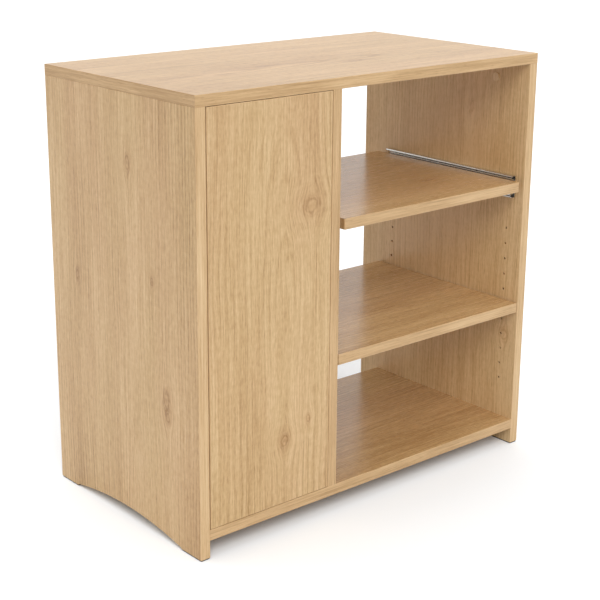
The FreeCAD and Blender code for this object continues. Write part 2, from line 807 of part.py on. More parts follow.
def make_pull_out():
    """The pull-out shelf, with rounded front corners, between its two slides."""
    x_start = x_divider_right + slide_thickness
    x_end = x_right_in - slide_thickness
    y_start = y_front + pull_shelf_setback
    low = (x_start, y_start, pull_shelf_top - board)
    whole = block(low, (x_end, y_inner_back, pull_shelf_top))
    upright = [edge for edge in whole.Edges if abs(edge.BoundBox.ZLength - board) < touch]
    front_corners = [edge for edge in upright if edge.BoundBox.YMax < y_start + touch]
    whole = whole.makeFillet(pull_corner_radius, front_corners)
    front_strip = block(low, (x_end, y_start + band, pull_shelf_top))
    back_low = (x_start, y_inner_back - band, low[2])
    back_strip = block(back_low, (x_end, y_inner_back, pull_shelf_top))
    nodes["pull_out_shelf"] = whole.cut([front_strip, back_strip])
    nodes["pull_out_shelf_bands"] = group([whole.common(front_strip), whole.common(back_strip)])
    groups = ("slide_cabinet_screws", "slide_shelf_screws", "outer_cage_balls", "inner_cage_balls")
    found = {name: [] for name in groups + ("slide_front_stops", "slide_rear_bumpers")}
    make_slide("left", x_divider_right, 1, "divider_panel", found)
    make_slide("right", x_right_in, -1, "right_side_panel", found)
    for name, solids in found.items():
        nodes[name] = group(solids)


make_carcass()
make_back_panel()
make_glides()
make_joints()
make_shelves()
make_door()
make_hinges()
make_latch()
make_pull_out()

for name, tools in cuts.items():
    nodes[name] = nodes[name].cut(tools)

os.makedirs("parts", exist_ok=True)
for name, shape in nodes.items():
    shape.exportStep("parts/" + name + ".step")
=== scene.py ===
import math

import bpy
import numpy as np
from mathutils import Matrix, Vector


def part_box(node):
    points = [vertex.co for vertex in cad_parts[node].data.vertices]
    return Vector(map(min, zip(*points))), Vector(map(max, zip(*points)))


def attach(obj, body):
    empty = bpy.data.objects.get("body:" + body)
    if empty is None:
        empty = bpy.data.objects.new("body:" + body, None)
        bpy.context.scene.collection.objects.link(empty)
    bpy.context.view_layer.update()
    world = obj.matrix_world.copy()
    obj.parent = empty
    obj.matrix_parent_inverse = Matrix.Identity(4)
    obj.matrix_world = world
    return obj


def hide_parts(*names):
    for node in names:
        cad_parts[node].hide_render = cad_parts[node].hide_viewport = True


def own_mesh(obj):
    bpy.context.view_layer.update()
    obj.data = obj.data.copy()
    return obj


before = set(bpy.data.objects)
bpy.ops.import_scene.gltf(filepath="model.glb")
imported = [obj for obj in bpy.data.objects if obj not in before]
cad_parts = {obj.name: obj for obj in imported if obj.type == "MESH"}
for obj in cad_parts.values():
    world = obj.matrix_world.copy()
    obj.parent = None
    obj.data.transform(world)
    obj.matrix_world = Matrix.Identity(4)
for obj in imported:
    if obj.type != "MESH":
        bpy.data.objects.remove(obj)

# A side desk in oak-decor board: cupboard on the left, open bays with a pull-out shelf on the
# right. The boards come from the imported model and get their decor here; edge bands, slides and
# caps are made here as fuller pieces in the same places.
scene = bpy.context.scene
scene.view_settings.view_transform = "Standard"
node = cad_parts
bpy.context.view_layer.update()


# Camera, at the photograph's place: a little above the top, in front and to the left.
camera_data = bpy.data.cameras.new("camera")
camera_data.lens = 82.745
camera_data.shift_x = 0.03
camera_data.shift_y = -0.05
camera = bpy.data.objects.new("camera", camera_data)
camera.location = (-1.6840, -1.9542, 1.1555)
camera.rotation_euler = [math.radians(angle) for angle in (73.630, -0.242, -39.996)]
scene.collection.objects.link(camera)
scene.camera = camera


# Floor: a plain white sheet of paper on the ground. It keeps the desk's soft shadow. What it
# throws back on the desk is a little darker and cooler than what it shows.
reach = 9
floor_mesh = bpy.data.meshes.new("floor")
floor_mesh.from_pydata([(-reach, -reach, 0), (reach, -reach, 0), (reach, reach, 0), (-reach, reach, 0)],
                       [], [(0, 1, 2, 3)])
floor = bpy.data.objects.new("floor", floor_mesh)
scene.collection.objects.link(floor)


def rays_that_show(tree):
    """Adds up the light path's camera, glossy and transmission marks, kept from 0 to 1."""
    path = tree.nodes.new("ShaderNodeLightPath")
    total = path.outputs["Is Camera Ray"]
    for mark in ("Is Glossy Ray", "Is Transmission Ray"):
        add = tree.nodes.new("ShaderNodeMath")
        add.operation = "ADD"
        add.use_clamp = True
        tree.links.new(total, add.inputs[0])
        tree.links.new(path.outputs[mark], add.inputs[1])
        total = add.outputs[0]
    return total


paper = bpy.data.materials.new("white_paper")
paper.use_nodes = True
tree = paper.node_tree
tree.nodes.clear()
white = tree.nodes.new("ShaderNodeMix")
white.data_type = "RGBA"
thrown_back, looked_at = white.inputs["A"], white.inputs["B"]
thrown_back.default_value = (0.62, 0.64, 0.66, 1)
looked_at.default_value = (0.968, 0.986, 1.0, 1)
tree.links.new(rays_that_show(tree), white.inputs["Factor"])
diffuse = tree.nodes.new("ShaderNodeBsdfDiffuse")
tree.links.new(white.outputs["Result"], diffuse.inputs["Color"])
glow = tree.nodes.new("ShaderNodeEmission")
lift = tree.nodes.new("ShaderNodeMath")
lift.operation = "MULTIPLY"
lift.inputs[1].default_value = 0.015
tree.links.new(rays_that_show(tree), lift.inputs[0])
tree.links.new(lift.outputs[0], glow.inputs["Strength"])
both = tree.nodes.new("ShaderNodeAddShader")
tree.links.new(diffuse.outputs[0], both.inputs[0])
tree.links.new(glow.outputs[0], both.inputs[1])
out = tree.nodes.new("ShaderNodeOutputMaterial")
tree.links.new(both.outputs[0], out.inputs["Surface"])
floor_mesh.materials.append(paper)


# Light: a white room, brighter overhead and behind the desk, where the open bays let it in, and
# one wide lamp from the front left, at half height.
world = bpy.data.worlds.new("white_room")
scene.world = world
world.use_nodes = True
tree = world.node_tree
room = tree.nodes["Background"]
room.inputs["Color"].default_value = (1, 1, 1, 1)
sky = tree.nodes.new("ShaderNodeTexCoord")
way = tree.nodes.new("ShaderNodeSeparateXYZ")
tree.links.new(sky.outputs["Generated"], way.inputs[0])
overhead = tree.nodes.new("ShaderNodeMapRange")
overhead.inputs["To Min"].default_value = 0.05
overhead.inputs["To Max"].default_value = 1.24
tree.links.new(way.outputs["Z"], overhead.inputs["Value"])
behind = tree.nodes.new("ShaderNodeMapRange")
behind.inputs["To Min"].default_value = 0.0
behind.inputs["To Max"].default_value = 0.50
tree.links.new(way.outputs["Y"], behind.inputs["Value"])
level = tree.nodes.new("ShaderNodeMath")
tree.links.new(overhead.outputs["Result"], level.inputs[0])
tree.links.new(behind.outputs["Result"], level.inputs[1])
shown = tree.nodes.new("ShaderNodeMix")
shown.inputs["B"].default_value = 1.0
tree.links.new(rays_that_show(tree), shown.inputs["Factor"])
tree.links.new(level.outputs[0], shown.inputs["A"])
tree.links.new(shown.outputs["Result"], room.inputs["Strength"])

lamp_data = bpy.data.lights.new("front_lamp", "SUN")
lamp_data.energy = 1.60
lamp_data.angle = math.radians(34)
lamp = bpy.data.objects.new("front_lamp", lamp_data)
lamp.rotation_euler = (math.radians(50), 0, math.radians(-30))
scene.collection.objects.link(lamp)


# Boards: chipboard faced with a printed oak decor, its grain along each board. Every board is
# cut from another stretch of the decor, so its figure and its knots are its own.
def joined_math(tree, operation, first, second=None, third=None, clamp=False):
    """One sum in the node tree. A part is either another node's output or a number."""
    step = tree.nodes.new("ShaderNodeMath")
    step.operation = operation
    step.use_clamp = clamp
    for socket, value in zip(step.inputs, (first, second, third)):
        if value is None:
            continue
        if isinstance(value, (int, float)):
            socket.default_value = value
        else:
            tree.links.new(value, socket)
    return step.outputs[0]


def streaks(tree, field, across, along, detail=2.0, place=0.0, rough=0.5):
    """Noise drawn out along the grain: so many per metre across it, so many along it."""
    mapping = tree.nodes.new("ShaderNodeMapping")
    mapping.inputs["Scale"].default_value = (across, along, 1.0)
    mapping.inputs["Location"].default_value = (place, place * 1.7, place * 0.6)
    noise = tree.nodes.new("ShaderNodeTexNoise")
    noise.inputs["Scale"].default_value = 1.0
    noise.inputs["Detail"].default_value = detail
    noise.inputs["Roughness"].default_value = rough
    tree.links.new(field, mapping.inputs["Vector"])
    tree.links.new(mapping.outputs[0], noise.inputs["Vector"])
    return noise.outputs["Fac"]


def weighed(tree, parts, start):
    """start plus the sum of each part's distance from its middle times its weight."""
    total = start
    for value, middle, weight in parts:
        away = joined_math(tree, "SUBTRACT", value, middle)
        total = joined_math(tree, "MULTIPLY_ADD", away, weight, total)
    return total


def oak_decor(name, grain, across, heart, knots, piece_of_decor, tone=0.0, rough=0.20, arched=1.0, ior=1.40):
    """Oak figure on Object coordinates. Rings are the distance to a heart line under the face,
    R = sqrt((a - a0)^2 + d(g)^2), where d is depth up to g0 and then grows by dive over the
    reach. That gives arches within the reach and straight grain elsewhere. Veins and rings
    follow R, and fibres run straight. Round a knot the grain is pushed aside, and the knot itself
    is a wavy ring with a pupil and a brownish halo. The heart is (a0, g0, depth, dive, spacing of
    its rings, reach), and each knot (a0, g0, size, how much longer than wide), in metres."""
    made = bpy.data.materials.new(name)
    made.use_nodes = True
    tree = made.node_tree
    shader = tree.nodes["Principled BSDF"]
    place = tree.nodes.new("ShaderNodeTexCoord")
    split = tree.nodes.new("ShaderNodeSeparateXYZ")
    tree.links.new(place.outputs["Object"], split.inputs[0])
    along = split.outputs["XYZ".index(grain)]
    aside = split.outputs["XYZ".index(across)]

    def field(sideways, lengthways, third):
        """Joins three outputs or numbers into the vector that the streaks read."""
        joined = tree.nodes.new("ShaderNodeCombineXYZ")
        for socket, value in zip(joined.inputs, (sideways, lengthways, third)):
            if isinstance(value, float):
                socket.default_value = value
            else:
                tree.links.new(value, socket)
        return joined.outputs[0]

    plain = field(aside, along, piece_of_decor)
    wander = streaks(tree, plain, 5.0, 1.6, 2.0, piece_of_decor)
    tight = streaks(tree, plain, 22.0, 9.0, 1.0, piece_of_decor + 3.0)
    bent = weighed(tree, [(wander, 0.5, 0.030), (tight, 0.5, 0.0030)], aside)
    wave = streaks(tree, plain, 110.0, 90.0, 1.0, piece_of_decor + 5.0)

    eyes = 0.0
    halo = 0.0
    grain_pushed, push, halo_reach = 3.2, 0.85, 2.2
    ring_pupil_outer = ((0.95, 0.24, 0.85), (0.0, 0.30, 0.50), (1.55, 0.20, 0.30))
    for a0, g0, size, stretch in knots:
        da = joined_math(tree, "SUBTRACT", aside, a0)
        dg = joined_math(tree, "SUBTRACT", along, g0)
        dg = joined_math(tree, "DIVIDE", dg, stretch)
        square = joined_math(tree, "MULTIPLY_ADD", da, da, joined_math(tree, "MULTIPLY", dg, dg))
        fall = joined_math(tree, "MULTIPLY", square, -1.0 / (grain_pushed * size) ** 2)
        pull = joined_math(tree, "POWER", math.e, fall)
        pushed = joined_math(tree, "MULTIPLY", da, pull)
        bent = joined_math(tree, "MULTIPLY_ADD", pushed, -push, bent)
        radius = joined_math(tree, "MULTIPLY", joined_math(tree, "SQRT", square), 1.0 / size)
        radius = joined_math(tree, "MULTIPLY_ADD", joined_math(tree, "SUBTRACT", wave, 0.5), 0.8, radius)
        for middle, spread, weight in ring_pupil_outer:
            off = joined_math(tree, "SUBTRACT", radius, middle)
            fall = joined_math(tree, "MULTIPLY", joined_math(tree, "MULTIPLY", off, off), -1.0 / spread ** 2)
            eyes = joined_math(tree, "MULTIPLY_ADD", joined_math(tree, "POWER", math.e, fall), weight, eyes)
        fall = joined_math(tree, "MULTIPLY", joined_math(tree, "MULTIPLY", radius, radius),
                           -1.0 / halo_reach ** 2)
        halo = joined_math(tree, "ADD", joined_math(tree, "POWER", math.e, fall), halo)

    a0, g0, depth, dive, spacing, reach = heart
    off = joined_math(tree, "SUBTRACT", bent, a0)
    run = joined_math(tree, "SUBTRACT", along, g0)
    share = joined_math(tree, "MULTIPLY", run, math.copysign(1.0, dive) / reach, clamp=True)
    deep = joined_math(tree, "MULTIPLY_ADD", share, abs(dive) * reach, depth)
    radius = joined_math(tree, "SQRT", joined_math(tree, "MULTIPLY_ADD", off, off,
                                                   joined_math(tree, "MULTIPLY", deep, deep)))
    flank = joined_math(tree, "MULTIPLY_ADD", off, 9.0, piece_of_decor)
    flow = field(radius, along, flank)
    beside = field(bent, along, piece_of_decor)
    uneven = streaks(tree, beside, 16.0, 4.0, 3.0, piece_of_decor + 7.0)
    phase = joined_math(tree, "MULTIPLY", radius, 2 * math.pi / spacing)
    phase = joined_math(tree, "MULTIPLY_ADD", uneven, 7.0, phase)
    swing = joined_math(tree, "MULTIPLY_ADD", joined_math(tree, "SINE", phase), 0.5, 0.5)
    rings = joined_math(tree, "POWER", swing, 5.0)
    shown = streaks(tree, beside, 8.0, 2.2, 1.0, piece_of_decor + 11.0)
    shown = joined_math(tree, "MULTIPLY_ADD", shown, 2.4, -0.65, clamp=True)
    rings = joined_math(tree, "MULTIPLY", rings, shown)

    broad = streaks(tree, beside, 8.0, 1.0, 2.0, piece_of_decor + 13.0)
    stripes = streaks(tree, beside, 26.0, 1.4, 1.0, piece_of_decor + 15.0)
    ribbons = streaks(tree, flow, 90.0, 2.5, 2.0, piece_of_decor + 17.0)
    veins = streaks(tree, flow, 330.0, 5.0, 2.0, piece_of_decor + 18.0, 0.6)
    strokes = streaks(tree, beside, 450.0, 6.0, 2.0, piece_of_decor + 19.0, 0.6)
    fibres = streaks(tree, beside, 520.0, 70.0, 2.0, piece_of_decor + 21.0, 0.6)
    pores = streaks(tree, beside, 700.0, 40.0, 1.0, piece_of_decor + 23.0)
    rays = streaks(tree, beside, 75.0, 150.0, 2.0, piece_of_decor + 29.0)
    dashes = joined_math(tree, "MULTIPLY_ADD", pores, 7.0, -4.3, clamp=True)
    parts = [(broad, 0.5, 0.60), (stripes, 0.5, 0.20), (ribbons, 0.5, 0.36), (veins, 0.5, 0.42 * arched),
             (strokes, 0.5, 0.90), (fibres, 0.5, 0.76), (rays, 0.5, 0.22), (rings, 0.10, -0.26 * arched),
             (dashes, 0.05, -0.30), (eyes, 0.0, -0.34), (halo, 0.0, -0.12)]
    figure = weighed(tree, parts, 0.51 + tone)

    colours = tree.nodes.new("ShaderNodeValToRGB")
    ramp = colours.color_ramp
    ramp.elements[0].position = 0.0
    ramp.elements[0].color = (0.362, 0.198, 0.076, 1)
    ramp.elements[1].position = 1.0
    ramp.elements[1].color = (0.775, 0.550, 0.312, 1)
    ramp.elements.new(0.5).color = (0.592, 0.378, 0.183, 1)
    tree.links.new(figure, colours.inputs["Fac"])
    warmth = streaks(tree, beside, 9.0, 1.8, 2.0, piece_of_decor + 31.0)
    warmth = joined_math(tree, "MULTIPLY_ADD", warmth, 3.0, -1.15, clamp=True)
    warmth = joined_math(tree, "MULTIPLY_ADD", halo, 0.7, warmth, clamp=True)
    tint = tree.nodes.new("ShaderNodeMix")
    tint.data_type = "RGBA"
    tint.inputs["A"].default_value = (1.0, 1.006, 0.960, 1)
    tint.inputs["B"].default_value = (1.0, 0.972, 0.955, 1)
    tree.links.new(warmth, tint.inputs["Factor"])
    stained = tree.nodes.new("ShaderNodeMix")
    stained.data_type = "RGBA"
    stained.blend_type = "MULTIPLY"
    stained.inputs["Factor"].default_value = 1.0
    tree.links.new(colours.outputs["Color"], stained.inputs["A"])
    tree.links.new(tint.outputs["Result"], stained.inputs["B"])
    tree.links.new(stained.outputs["Result"], shader.inputs["Base Color"])

    gloss = weighed(tree, [(fibres, 0.5, 0.10), (dashes, 0.0, 0.12)], rough)
    tree.links.new(gloss, shader.inputs["Roughness"])
    relief = weighed(tree, [(fibres, 0.5, 0.5), (dashes, 0.0, -0.8)], 0.5)
    bump = tree.nodes.new("ShaderNodeBump")
    bump.inputs["Strength"].default_value = 0.10
    bump.inputs["Distance"].default_value = 0.0001
    tree.links.new(relief, bump.inputs["Height"])
    tree.links.new(bump.outputs["Normal"], shader.inputs["Normal"])
    shader.inputs["IOR"].default_value = ior
    return made


def faced(name, material):
    """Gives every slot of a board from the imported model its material."""
    for place in node[name].material_slots:
        place.material = material


# Top board: it lies over the sides and the divider, held from below by cams and dowels. Its
# decor runs along the desk, with four faint marks in the front half.
faced("top_panel", oak_decor("top_decor", "X", "Y", (-0.060, -0.30, 0.020, 0.060, 0.0080, 0.5),
                             [(-0.077, -0.240, 0.0040, 3.0), (-0.044, -0.128, 0.0035, 3.5),
                              (-0.087, 0.059, 0.0045, 4.0), (-0.099, 0.282, 0.0045, 3.0)],
                             2.0, -0.12, 0.30))

# Side boards: upright decor, cut out between the feet. The left one has two knots under each
# other, two more above them, a dark mark towards its back, and figure that arches low down; the
# right one has a knot near its front edge and a small one high up.
faced("left_side_panel", oak_decor("left_side_decor", "Z", "Y", (-0.042, 0.00, 0.008, 0.090, 0.0085, 0.17),
                                   [(-0.031, 0.671, 0.0058, 2.0), (0.142, 0.434, 0.0040, 2.2),
                                    (-0.134, 0.269, 0.0066, 2.4), (-0.137, 0.240, 0.0045, 1.8),
                                    (-0.0975, 0.476, 0.0030, 2.2)], 11.0))
# The right board's tone, 0.24, is raised above the others': painted light, standing in for the light that the
# wood throws back onto its inner face inside the bays.
faced("right_side_panel", oak_decor("right_side_decor", "Z", "Y", (-0.080, 0.79, 0.008, -0.080, 0.0085, 0.16),
                                    [(-0.196, 0.232, 0.0085, 1.2), (-0.082, 0.690, 0.0040, 2.4)],
                                    23.0, 0.24, 0.30))

# Divider between cupboard and bays: it stands on the base board under the top, held by cams and
# dowels. Its upright decor has little figure.
faced("divider_panel", oak_decor("divider_decor", "Z", "Y", (0.060, 0.20, 0.030, 0.040, 0.0090, 0.6),
                                 [(0.040, 0.520, 0.0050, 2.0)], 37.0))

# Base board: it fits between the sides, held by dowels and by cams set in from below. Its decor
# runs along the desk, with arches towards the right.
# Its tone, -0.29, is set well below the other boards': painted shade, for the shade that falls on it low in
# the bays.
faced("base_panel", oak_decor("base_decor", "X", "Y", (-0.096, 0.40, 0.020, -0.060, 0.0085, 0.30),
                              [(0.060, -0.260, 0.0050, 2.4)], 43.0, -0.29, 0.24, ior=1.62))

# Middle shelf: it lies loose on four pins, in pockets milled in its underside. Same decor, with
# arches at its right end.
# Its tone, -0.21, is set lower too: painted shade, for the shade that falls on it under the pull-out shelf.
faced("middle_shelf", oak_decor("middle_shelf_decor", "X", "Y", (-0.076, 0.39, 0.015, -0.070, 0.0085, 0.25),
                                [(0.050, 0.020, 0.0040, 3.0)], 53.0, -0.21, 0.24, ior=1.62))

# Pull-out shelf: a board with rounded front corners, screwed to the inner members of the two
# slides. Same decor, straighter.
# Its tone, -0.18, is set lower too: painted shade, for the shade that falls on it inside the bay.
faced("pull_out_shelf", oak_decor("pull_out_decor", "X", "Y", (0.020, 0.10, 0.030, 0.045, 0.0080, 0.3),
                                  [(-0.100, 0.250, 0.0040, 3.0)], 61.0, -0.18, 0.24, ior=1.62))

# Cupboard shelf, loose on four pins, and the cupboard's thin back board, let into grooves of the
# boards round it. From the front both are seen only when the door is open.
faced("cupboard_shelf", oak_decor("cupboard_shelf_decor", "X", "Y",
                                  (-0.020, -0.20, 0.030, 0.050, 0.0080, 0.3),
                                  [(0.050, -0.220, 0.0040, 3.0)], 71.0))
faced("cupboard_back_panel", oak_decor("back_board_decor", "Z", "X",
                                       (-0.250, 0.10, 0.015, 0.060, 0.0090, 0.5),
                                       [(-0.180, 0.610, 0.0060, 2.0)], 79.0, -0.05))

# Door: a 16 mm board without a handle, hung on two cup hinges. Upright decor with two ring knots
# and a small one beside the lower of them, and the grain parts round each.
faced("door_panel", oak_decor("door_decor", "Z", "X", (-0.224, 0.44, 0.010, 0.130, 0.0130, 0.30),
                              [(-0.166, 0.596, 0.0125, 1.0), (-0.224, 0.175, 0.0080, 1.2),
                               (-0.169, 0.204, 0.0040, 1.8)], 97.0, 0.09, 0.20, 1.0))


# Edge bands: 1 mm strips of the same decor, glued on by machine and trimmed flush, so their
# two outer arrises are slightly round. The grain runs along each strip, and follows it.
band_gauge = 0.001
band_round = 0.0006
board_gauge = 0.020


def band_section(width):
    """Outline of a strip's section, x across it and y outwards, from one glued corner round to
    the other: up the side, a quarter circle, over the face, a quarter circle, down."""
    turn = np.linspace(0.0, math.pi / 2, 5)
    flat = width / 2 - band_round
    rise = band_gauge - band_round
    near = np.stack([flat + band_round * np.cos(turn), rise + band_round * np.sin(turn)], 1)
    far = near[::-1] * [-1.0, 1.0]
    return np.concatenate([[[width / 2, 0.0]], near, far, [[-width / 2, 0.0]]])


def carried(stations, outwards, section, swell=None):
    """Carries an outline along stations: P(i, j) = S(i) + x(j) A(i) + y(j) swell(i) N(i), where N
    points outwards and A = N x T is across the way T that the stations go. Gives the points,
    the quads, the two end faces, and for every point its length along and round the strip."""
    rows, sides = len(stations), len(section)
    way = np.gradient(stations, axis=0)
    way /= np.linalg.norm(way, axis=1)[:, None]
    outwards = np.broadcast_to(np.asarray(outwards, float), stations.shape)
    across = np.cross(outwards, way)
    across /= np.linalg.norm(across, axis=1)[:, None]
    swell = np.ones(rows) if swell is None else swell
    lift = section[None, :, 1:] * swell[:, None, None] * outwards[:, None, :]
    points = stations[:, None, :] + section[None, :, :1] * across[:, None, :] + lift
    index = np.arange(rows * sides).reshape(rows, sides)
    after = np.roll(index, -1, axis=1)
    quads = np.stack([index[:-1], after[:-1], after[1:], index[1:]], -1).reshape(-1, 4).tolist()
    ends = [index[0, ::-1].tolist(), index[-1].tolist()]
    steps = np.linalg.norm(np.diff(stations, axis=0), axis=1)
    along = np.concatenate([[0.0], np.cumsum(steps)])
    edge = np.linalg.norm(np.diff(section, axis=0), axis=1)
    around = np.concatenate([[0.0], np.cumsum(edge)])
    lengths = np.stack(np.broadcast_arrays(along[:, None], around[None, :]), -1)
    return points.reshape(-1, 3), quads + ends, lengths.reshape(-1, 2)


def one_piece(name, parts, tones=None):
    """Joins carried or turned parts into one object, with their lengths as its UV map. Every
    part takes its own stretch of the decor, and its own tone where tones are given."""
    mesh = bpy.data.meshes.new(name)
    starts = np.cumsum([0] + [len(part[0]) for part in parts])
    faces = [[corner + start for corner in face]
             for part, start in zip(parts, starts.tolist()) for face in part[1]]
    mesh.from_pydata(np.concatenate([part[0] for part in parts]).tolist(), [], faces)
    lengths = np.concatenate([part[2] + [1.7 * order, 0.31 * order]
                              for order, part in enumerate(parts)])
    corners = np.empty(len(mesh.loops), dtype=np.int32)
    mesh.loops.foreach_get("vertex_index", corners)
    layer = mesh.uv_layers.new(name="strip")
    layer.data.foreach_set("uv", lengths[corners].astype(np.float32).ravel())
    if tones is not None:
        shades = np.concatenate([np.full(len(part[0]), tone) for part, tone in zip(parts, tones)])
        mesh.attributes.new("tone", "FLOAT", "POINT").data.foreach_set("value", shades.astype(np.float32))
    mesh.update()
    piece = bpy.data.objects.new(name, mesh)
    scene.collection.objects.link(piece)
    return piece


def straight_band(start, end, outwards, width):
    """A strip from start to end, on the middle line of the edge that it is glued to."""
    share = np.linspace(0.0, 1.0, 9)[:, None]
    stations = np.array(start) * (1 - share) + np.array(end) * share
    return carried(stations, outwards, band_section(width))


def band_decor(name):
    """Straight oak figure that reads the strip's own lengths and its tone: long streaks, fibres
    and pores."""
    made = bpy.data.materials.new(name)
    made.use_nodes = True
    tree = made.node_tree
    shader = tree.nodes["Principled BSDF"]
    strip = tree.nodes.new("ShaderNodeUVMap")
    strip.uv_map = "strip"
    laid = tree.nodes.new("ShaderNodeMapping")
    laid.inputs["Rotation"].default_value = (0, 0, math.radians(90))
    tree.links.new(strip.outputs[0], laid.inputs["Vector"])
    field = laid.outputs[0]
    ribbons = streaks(tree, field, 160.0, 3.0, 2.0, 5.0)
    fibres = streaks(tree, field, 600.0, 14.0, 2.0, 9.0, 0.6)
    patches = streaks(tree, field, 30.0, 6.0, 2.0, 15.0)
    pores = streaks(tree, field, 1300.0, 70.0, 1.0, 19.0)
    dashes = joined_math(tree, "MULTIPLY_ADD", pores, 5.0, -2.9, clamp=True)
    tone = tree.nodes.new("ShaderNodeAttribute")
    tone.attribute_name = "tone"
    figure = weighed(tree, [(ribbons, 0.5, 0.80), (fibres, 0.5, 0.95), (patches, 0.5, 0.45),
                            (dashes, 0.05, -0.3), (tone.outputs["Fac"], 0.0, 1.0)], 0.5)
    colours = tree.nodes.new("ShaderNodeValToRGB")
    ramp = colours.color_ramp
    ramp.elements[0].position = 0.0
    ramp.elements[0].color = (0.440, 0.258, 0.108, 1)
    ramp.elements[1].position = 1.0
    ramp.elements[1].color = (0.830, 0.606, 0.350, 1)
    ramp.elements.new(0.5).color = (0.672, 0.442, 0.224, 1)
    tree.links.new(figure, colours.inputs["Fac"])
    tree.links.new(colours.outputs["Color"], shader.inputs["Base Color"])
    gloss = weighed(tree, [(fibres, 0.5, 0.12)], 0.40)
    tree.links.new(gloss, shader.inputs["Roughness"])
    bump = tree.nodes.new("ShaderNodeBump")
    bump.inputs["Strength"].default_value = 0.15
    bump.inputs["Distance"].default_value = 0.0001
    tree.links.new(fibres, bump.inputs["Height"])
    tree.links.new(bump.outputs["Normal"], shader.inputs["Normal"])
    shader.inputs["IOR"].default_value = 1.47
    return made


# Where the boards' edges are, at rest: planes and middle lines of the boards, in metres.
front, back = -0.2275, 0.2275
inner_back = 0.1735
left, right = -0.411, 0.411
side_middles = (left + board_gauge / 2, right - board_gauge / 2)
divider_middle = -0.109
ground, base_middle, base_face = 0.0025, 0.0445, 0.0545
under_top, top_middle = 0.790, 0.800
out_front, out_back = (0, -1, 0), (0, 1, 0)
outer_ends = ((front + band_gauge, out_front), (back - band_gauge, out_back))
inner_ends = ((front + band_gauge, out_front), (inner_back - band_gauge, out_back))
top_tone, top_side_tone, side_tone = -0.11, -0.32, 0.04
divider_tone, base_tone, shelf_tone, door_tone = -0.13, -0.14, -0.09, -0.03
parts = [straight_band((left, y, top_middle), (right, y, top_middle), out, board_gauge)
         for y, out in outer_ends]
parts += [straight_band((x - way * band_gauge, front + band_gauge, top_middle),
                        (x - way * band_gauge, back - band_gauge, top_middle), (way, 0, 0), board_gauge)
          for x, way in ((left, -1), (right, 1))]
for x in side_middles:
    parts += [straight_band((x, y, ground), (x, y, under_top), out, board_gauge) for y, out in outer_ends]
parts += [straight_band((divider_middle, y, base_face), (divider_middle, y, under_top), out, board_gauge)
          for y, out in inner_ends]
parts += [straight_band((left + board_gauge, y, base_middle), (right - board_gauge, y, base_middle),
                        out, board_gauge)
          for y, out in inner_ends]

# The strip under each side board follows its arch, a circle through three points:
# z(y) = centre + sqrt(radius^2 - y^2).
arch_half, arch_foot, arch_crown = 0.169, 0.0052, 0.0230
arch_rise = arch_crown - arch_foot
arch_radius = (arch_half ** 2 + arch_rise ** 2) / (2 * arch_rise)
y_line = np.linspace(-arch_half, arch_half, 73)
z_line = arch_crown - arch_radius + np.sqrt(arch_radius ** 2 - y_line ** 2)
for x in side_middles:
    stations = np.stack([np.full_like(y_line, x), y_line, z_line], 1)
    parts.append(carried(stations, (0, 0, -1), band_section(board_gauge)))

tones = [top_tone] * 2 + [top_side_tone] * 2 + [side_tone] * 4 + [divider_tone] * 2 + [base_tone] * 2
bands = one_piece("carcass_bands", parts, tones + [side_tone] * 2)
band_finish = band_decor("band_decor")
bands.data.materials.append(band_finish)
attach(bands, "carcass")
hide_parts("carcass_edge_bands")

# Strips on the four edges of the door, 16 mm wide: the two upright ones run its full height, and
# the two level ones fit between them.
door_low, door_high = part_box("door_edge_bands")
middle_y = (door_low.y + door_high.y) / 2
door_gauge = door_high.y - door_low.y
parts = [straight_band((x - way * band_gauge, middle_y, door_low.z),
                       (x - way * band_gauge, middle_y, door_high.z), (way, 0, 0), door_gauge)
         for x, way in ((door_low.x, -1), (door_high.x, 1))]
parts += [straight_band((door_low.x + band_gauge, middle_y, z - way * band_gauge),
                        (door_high.x - band_gauge, middle_y, z - way * band_gauge), (0, 0, way), door_gauge)
          for z, way in ((door_low.z, -1), (door_high.z, 1))]
bands = one_piece("door_bands", parts, [door_tone] * 4)
bands.data.materials.append(band_finish)
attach(bands, "door")
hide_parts("door_edge_bands")

# Strips on the front and back edges of the two loose shelves. The shelves' other two edges stay
# bare, next to the boards beside them.
parts = []
for name in ("middle_shelf", "cupboard_shelf"):
    low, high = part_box(name)
    z = (low.z + high.z) / 2
    parts += [straight_band((low.x, y, z), (high.x, y, z), out, high.z - low.z)
              for y, out in ((low.y, out_front), (high.y, out_back))]
bands = one_piece("loose_shelf_bands", parts, [shelf_tone] * 4)
bands.data.materials.append(band_finish)
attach(bands, "carcass")
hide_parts("shelf_edge_bands")

# Strips of the pull-out shelf. The front one runs out to nothing over the 3 mm corners, where
# its gauge is what is left in front of the core: y(s) = 3 - sqrt(9 - (3 - s)^2).
low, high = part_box("pull_out_shelf_bands")
corner_round = 0.003
z = (low.z + high.z) / 2
run_out = corner_round - np.linspace(0.99, 0.0, 12) * math.sqrt(
    corner_round ** 2 - (corner_round - band_gauge) ** 2)
gone = corner_round - np.sqrt(corner_round ** 2 - (corner_round - run_out) ** 2)
half_span = (high.x - low.x) / 2
centre_x = (high.x + low.x) / 2
x_line = np.concatenate([centre_x - half_span + run_out, centre_x + half_span - run_out[::-1]])
swell = np.concatenate([band_gauge - gone, (band_gauge - gone)[::-1]]) / band_gauge
stations = np.stack([x_line, np.full_like(x_line, low.y + band_gauge), np.full_like(x_line, z)], 1)
parts = [carried(stations, out_front, band_section(high.z - low.z), swell),
         straight_band((centre_x - half_span, high.y - band_gauge, z),
                       (centre_x + half_span, high.y - band_gauge, z), out_back, high.z - low.z)]
bands = one_piece("pull_out_bands", parts, [shelf_tone] * 2)
bands.data.materials.append(band_finish)
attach(bands, "pull_out")
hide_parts("pull_out_shelf_bands")


